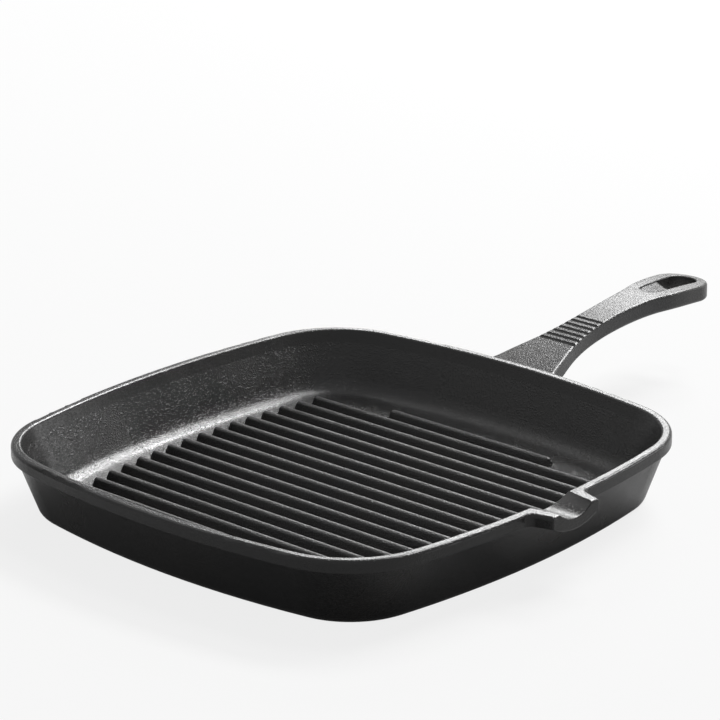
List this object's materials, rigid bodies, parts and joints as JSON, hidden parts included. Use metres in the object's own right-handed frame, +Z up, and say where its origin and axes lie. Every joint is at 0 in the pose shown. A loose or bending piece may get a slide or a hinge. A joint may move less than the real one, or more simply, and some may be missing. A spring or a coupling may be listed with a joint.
{
  "type": "grill pan",
  "caption": "Square cast-iron grill pan with raised parallel ridges, a pouring spout on one side and a long arched handle with a hang slot.",
  "frame": {"origin": "middle of the base, on the surface that the pan stands on", "axes": "+X runs out along the handle, +Z is up and -Y is the side of the pouring spout"},
  "size_m": [0.4003, 0.271, 0.0481],
  "materials": {
    "iron": "matte black, finely grained as cast"
  },
  "bodies": {
    "root": {"pan_floor": "iron", "pan_wall": "iron", "pan_rim": "iron", "pour_spout": "iron", "handle_root": "iron", "handle_grip": "iron", "handle_loop": "iron", "grill_ridge_01": "iron", "grill_ridge_02": "iron", "grill_ridge_03": "iron", "grill_ridge_04": "iron", "grill_ridge_05": "iron", "grill_ridge_06": "iron", "grill_ridge_07": "iron", "grill_ridge_08": "iron", "grill_ridge_09": "iron", "grill_ridge_10": "iron", "grill_ridge_11": "iron", "grill_ridge_12": "iron", "grill_ridge_13": "iron", "grill_ridge_14": "iron", "grill_ridge_15": "iron", "grill_ridge_16": "iron", "grill_ridge_17": "iron", "grill_ridge_18": "iron"}
  },
  "joints": []
}
